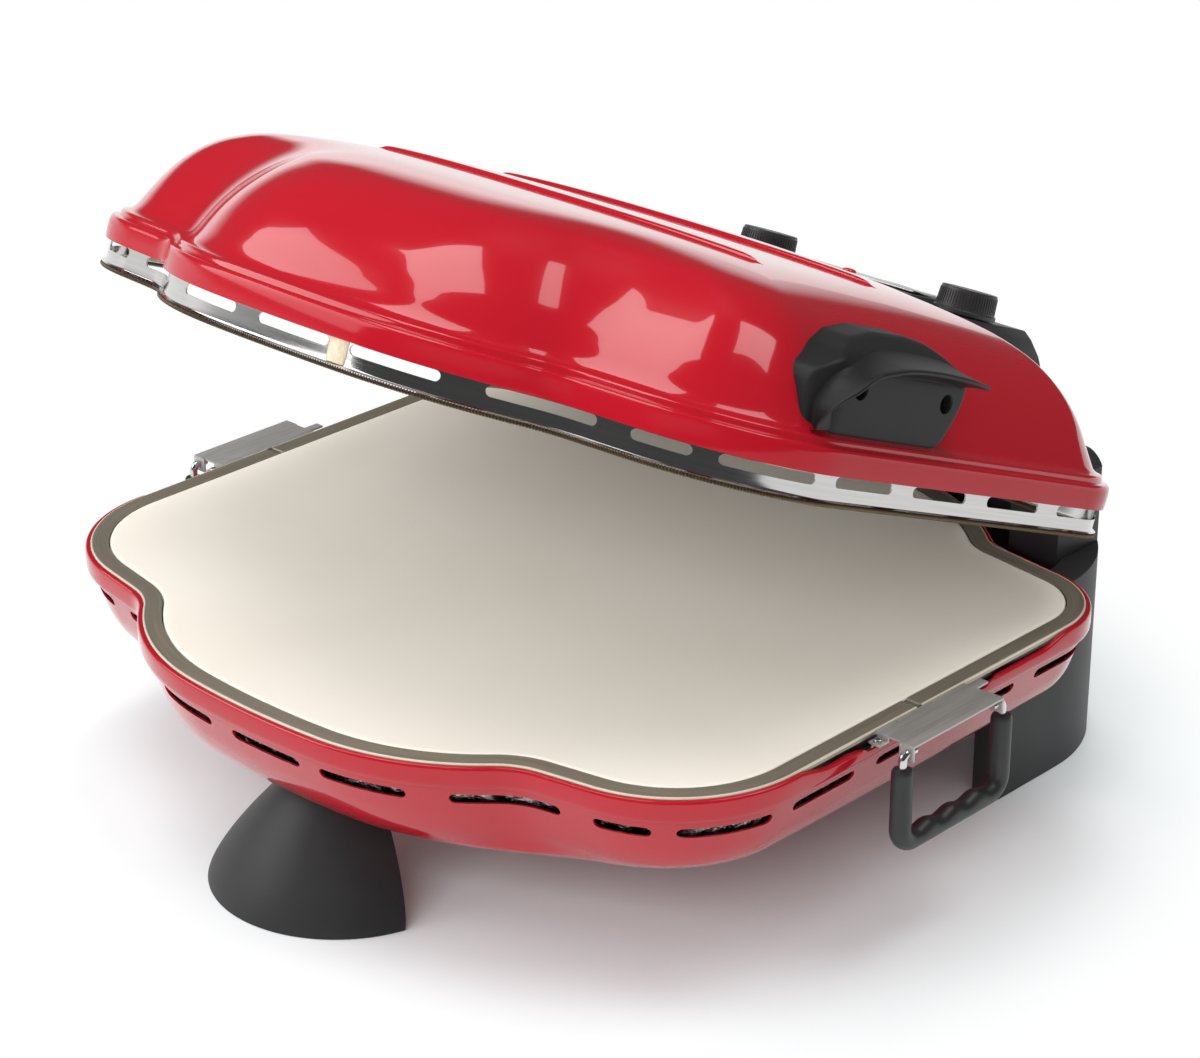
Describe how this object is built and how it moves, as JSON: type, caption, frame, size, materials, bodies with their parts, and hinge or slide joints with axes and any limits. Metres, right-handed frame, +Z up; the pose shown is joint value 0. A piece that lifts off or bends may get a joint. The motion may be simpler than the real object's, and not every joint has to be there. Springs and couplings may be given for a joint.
{
  "type": "pizza maker",
  "caption": "Electric pizza maker: a baking stone in a red bowl-shaped casing under a hinged domed lid, with rear dials, side handles and fold-out carrying bails.",
  "frame": {"origin": "middle of the footprint, on the table", "axes": "+Z up, +Y to the hinge at the back, +X to the right seen from the front"},
  "size_m": [0.6044, 0.589, 0.4076],
  "materials": {
    "red_enamel": "gloss red stove enamel",
    "stone": "matt cream fired stone",
    "rim_steel": "brushed warm steel",
    "polished_steel": "polished",
    "bead_bronze": "dull bronze",
    "clip_tan": "tan",
    "sheet_steel": "plain sheet",
    "fasteners": "zinc plated",
    "element_steel": "heat-darkened tube",
    "foil": "glass fibre faced with crinkled foil",
    "black_plastic": "fine-grained black phenolic",
    "grip_black": "satin black",
    "pads": "matt",
    "trim": "brushed",
    "lamp_red": "translucent red",
    "lamp_holder": "ivory"
  },
  "bodies": {
    "base": {"casing": "red_enamel", "foil_insulation": "foil", "lower_tray": "sheet_steel", "stand_offs": "sheet_steel", "lower_element": "element_steel", "lower_clips": "sheet_steel", "baking_stone": "stone", "rim_front": "rim_steel", "rim_rear": "rim_steel", "bracket_left": "rim_steel", "bracket_right": "rim_steel", "bracket_screws": "fasteners", "front_foot": "black_plastic", "rear_support": "black_plastic", "hinge_tower_left": "black_plastic", "hinge_tower_right": "black_plastic", "foot_pads": "pads", "hinge_pins": "fasteners", "terminal_block": "lamp_holder", "cord_gland": "black_plastic", "casing_screws": "fasteners"},
    "lid": {"lid_shell": "red_enamel", "lid_skirt": "polished_steel", "lid_bead": "bead_bronze", "lid_clip": "clip_tan", "lid_reflector": "sheet_steel", "upper_element": "element_steel", "upper_clips": "sheet_steel", "side_handle": "black_plastic", "handle_screws": "fasteners", "pod_cover": "black_plastic", "control_plate": "trim", "lamp_lens": "lamp_red", "lamp_body": "lamp_holder", "thermostats": "sheet_steel", "hinge_arm_left": "sheet_steel", "hinge_arm_right": "sheet_steel", "hinge_screws": "fasteners"},
    "bail_left": {"bail_wire_left": "polished_steel", "grip_left": "grip_black"},
    "bail_right": {"bail_wire_right": "polished_steel", "grip_right": "grip_black"},
    "dial_left": {"knob_left": "black_plastic", "shaft_left": "fasteners"},
    "dial_right": {"knob_right": "black_plastic", "shaft_right": "fasteners"}
  },
  "joints": [
    {"name": "lid_hinge", "type": "hinge", "parent": "base", "child": "lid", "pos_m": [0, 0.25602, 0.158], "axis": [-1, 0, 0], "range_deg": [-22.2, 63]},
    {"name": "bail_left_hinge", "type": "hinge", "parent": "base", "child": "bail_left", "pos_m": [-0.296, -0.02348, 0.1265], "axis": [0, 1, 0], "range_deg": [-20, 170]},
    {"name": "bail_right_hinge", "type": "hinge", "parent": "base", "child": "bail_right", "pos_m": [0.296, -0.02348, 0.1265], "axis": [0, -1, 0], "range_deg": [-20, 170]},
    {"name": "dial_left_turn", "type": "hinge", "parent": "lid", "child": "dial_left", "pos_m": [-0.083, 0.25529, 0.24027], "axis": [0, 0.3746, 0.9272], "range_deg": [0, 270]},
    {"name": "dial_right_turn", "type": "hinge", "parent": "lid", "child": "dial_right", "pos_m": [0.083, 0.25529, 0.24027], "axis": [0, 0.3746, 0.9272], "range_deg": [0, 270]}
  ]
}
